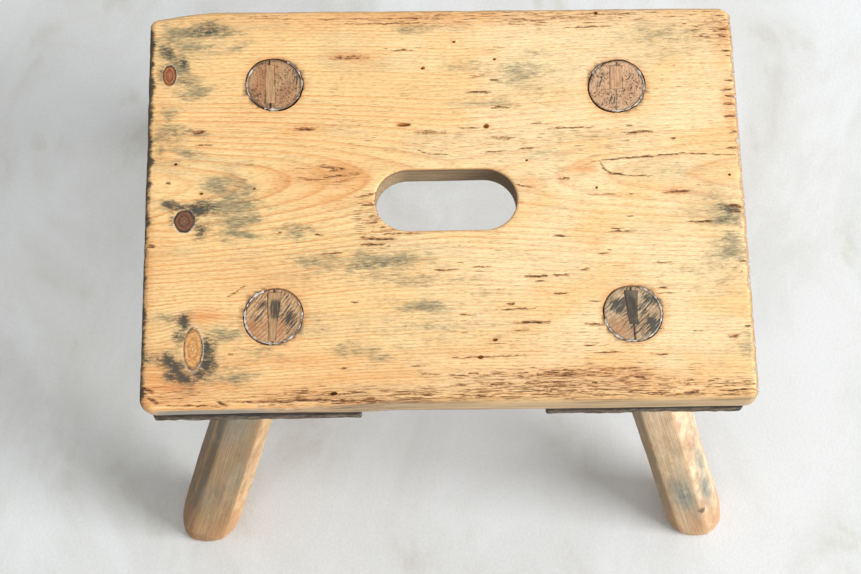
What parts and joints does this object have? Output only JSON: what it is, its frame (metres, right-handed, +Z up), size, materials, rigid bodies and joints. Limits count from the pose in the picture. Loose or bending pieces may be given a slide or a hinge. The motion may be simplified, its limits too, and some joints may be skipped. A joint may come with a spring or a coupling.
{
  "type": "milking stool",
  "caption": "Low wooden milking stool: worn pine plank seat with a hand slot, battens beneath and splayed legs whose wedged round tenons come up through the seat.",
  "frame": {"origin": "on the floor, midway between the four feet", "axes": "+X to the seat's right-hand end along its long side, +Y to the back, +Z up"},
  "size_m": [0.4196, 0.3638, 0.258],
  "materials": {
    "seat_pine": "waxed, worn, with blue-grey stains and worm tracks",
    "batten_pine": "grey, weathered, unwaxed",
    "leg_wood": "drawknife-shaved facets, dull",
    "wedge_wood": "end grain, dirty",
    "nail_iron": "dark, rusted"
  },
  "bodies": {
    "root": {"seat_plank": "seat_pine", "batten_left": "batten_pine", "batten_right": "batten_pine", "leg_front_left": "leg_wood", "leg_front_right": "leg_wood", "leg_back_left": "leg_wood", "leg_back_right": "leg_wood", "wedge_front_left": "wedge_wood", "wedge_front_right": "wedge_wood", "wedge_back_left": "wedge_wood", "wedge_back_right": "wedge_wood", "batten_left_nail_1": "nail_iron", "batten_left_nail_2": "nail_iron", "batten_left_nail_3": "nail_iron", "batten_left_nail_4": "nail_iron", "batten_right_nail_1": "nail_iron", "batten_right_nail_2": "nail_iron", "batten_right_nail_3": "nail_iron", "batten_right_nail_4": "nail_iron"}
  },
  "joints": []
}
